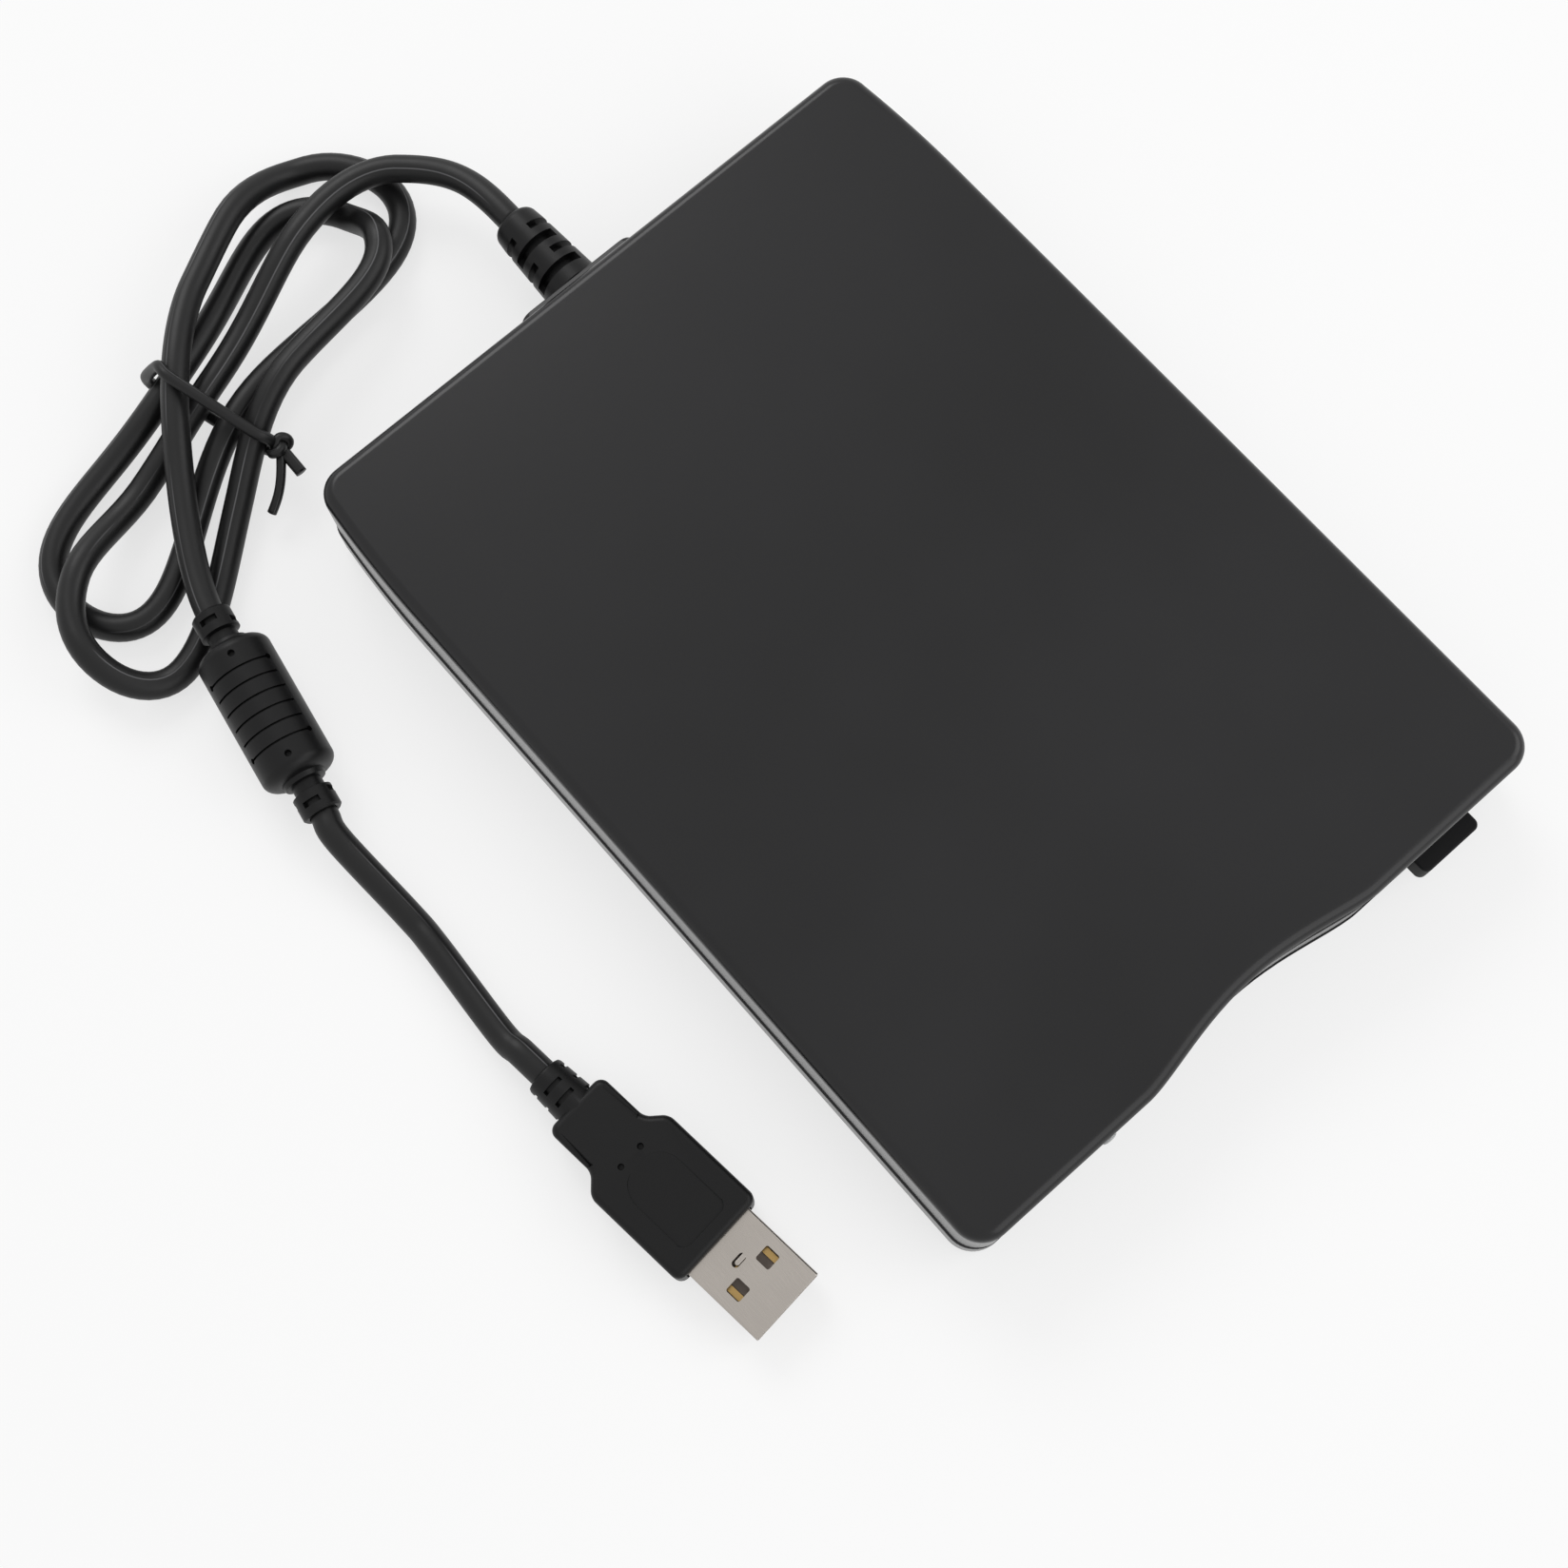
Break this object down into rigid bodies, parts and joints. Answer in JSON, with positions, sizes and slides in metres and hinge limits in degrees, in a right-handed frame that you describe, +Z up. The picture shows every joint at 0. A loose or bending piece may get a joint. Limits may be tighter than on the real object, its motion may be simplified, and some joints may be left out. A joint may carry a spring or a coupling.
{
  "type": "external floppy disk drive",
  "caption": "Slim external floppy disk drive with a disk slot, eject button, spindle, stepping head carriage and a bundled lead with ferrite and plug.",
  "frame": {"origin": "under the middle of the drive, on the surface its feet stand on, its lead left out", "axes": "+X to the right seen from the front, +Y to the rear where the lead leaves, +Z up"},
  "size_m": [0.1438, 0.1965, 0.0185],
  "materials": {
    "casing": "fine satin texture, charcoal",
    "trim": "satin black",
    "rubber": "matte",
    "steel": "plain bright steel",
    "sheet_steel": "zinc plated sheet",
    "board": "green solder mask",
    "chip": "moulded epoxy",
    "white_plastic": "natural moulded plastic",
    "film": "amber film",
    "lens": "clear",
    "cord_jacket": "soft satin black jacket",
    "moulding": "soft satin black moulding",
    "nickel": "nickel plated, brushed",
    "contact": "gold flashed brass"
  },
  "bodies": {
    "root": {"top_cover": "casing", "bottom_case": "casing", "foot_1": "rubber", "foot_2": "rubber", "foot_3": "rubber", "foot_4": "rubber", "case_screw_1": "steel", "case_screw_2": "steel", "case_screw_3": "steel", "case_screw_4": "steel", "front_bezel": "trim", "door_pin": "steel", "door_spring": "steel", "chassis": "sheet_steel", "top_shield": "sheet_steel", "chassis_screw_1": "steel", "chassis_screw_2": "steel", "eject_spring": "steel", "spindle_stator": "board", "guide_rod": "steel", "stepper_motor": "steel", "head_flex": "film", "main_board": "board", "bridge_board": "board", "controller_chip": "chip", "driver_chip": "chip", "bridge_chip": "chip", "crystal": "sheet_steel", "cable_connector": "white_plastic", "ribbon_cable": "film", "write_protect_switch": "chip", "density_switch": "chip", "track_zero_sensor": "chip", "status_led": "lens", "led_lens": "lens", "rear_bushing": "trim", "strain_relief": "cord_jacket", "cable_lead": "cord_jacket", "cable_hank": "cord_jacket", "cable_tail": "cord_jacket", "cable_tie": "cord_jacket", "ferrite_core": "moulding", "plug_overmould": "moulding", "plug_shell": "nickel", "plug_insulator": "white_plastic", "plug_contact_1": "contact", "plug_contact_2": "contact", "plug_contact_3": "contact", "plug_contact_4": "contact"},
    "door": {"slot_door": "trim"},
    "eject": {"eject_slider": "sheet_steel", "eject_button": "trim"},
    "holder": {"disk_holder": "sheet_steel"},
    "latch": {"latch_lever": "sheet_steel"},
    "spindle": {"spindle_rotor": "steel"},
    "carriage": {"head_carriage": "white_plastic", "lower_head": "chip"},
    "head_arm": {"upper_head_arm": "white_plastic", "upper_head": "chip"},
    "screw": {"lead_screw": "steel"}
  },
  "joints": [
    {"name": "door_hinge", "type": "hinge", "parent": "root", "child": "door", "pos_m": [0, -0.06398, 0.0152], "axis": [1, 0, 0], "range_deg": [0, 80], "stiffness_Nm_per_rad": 0.0005, "deforming": ["door_spring"]},
    {"name": "eject_slide", "type": "slide", "parent": "root", "child": "eject", "axis": [0, -1, 0], "range_m": [0, 0.004], "deforming": ["eject_spring"]},
    {"name": "holder_drop", "type": "slide", "parent": "root", "child": "holder", "axis": [0, 0, -1], "range_m": [0, 0.0025]},
    {"name": "latch_pivot", "type": "hinge", "parent": "root", "child": "latch", "pos_m": [-0.038, 0.04002, 0.0045], "axis": [0, 0, 1], "range_deg": [0, 12]},
    {"name": "spindle_spin", "type": "hinge", "parent": "root", "child": "spindle", "pos_m": [0, -0.01798, 0.0055], "axis": [0, 0, 1], "continuous": true},
    {"name": "head_seek", "type": "slide", "parent": "root", "child": "carriage", "axis": [0, -1, 0], "range_m": [0, 0.0148], "deforming": ["head_flex"]},
    {"name": "head_arm_tilt", "type": "hinge", "parent": "carriage", "child": "head_arm", "pos_m": [0, 0.04922, 0.0152], "axis": [1, 0, 0], "range_deg": [0, 5]},
    {"name": "screw_turn", "type": "hinge", "parent": "root", "child": "screw", "pos_m": [-0.013, 0.03002, 0.0103], "axis": [0, 1, 0], "range_deg": [0, 1421]}
  ],
  "couplings": [
    {"joint": "holder_drop", "follows": "eject_slide", "ratio": 0.625},
    {"joint": "latch_pivot", "follows": "eject_slide", "rad_per_m": 52.35},
    {"joint": "head_arm_tilt", "follows": "eject_slide", "rad_per_m": 21.8},
    {"joint": "screw_turn", "follows": "head_seek", "rad_per_m": 1675.5}
  ]
}
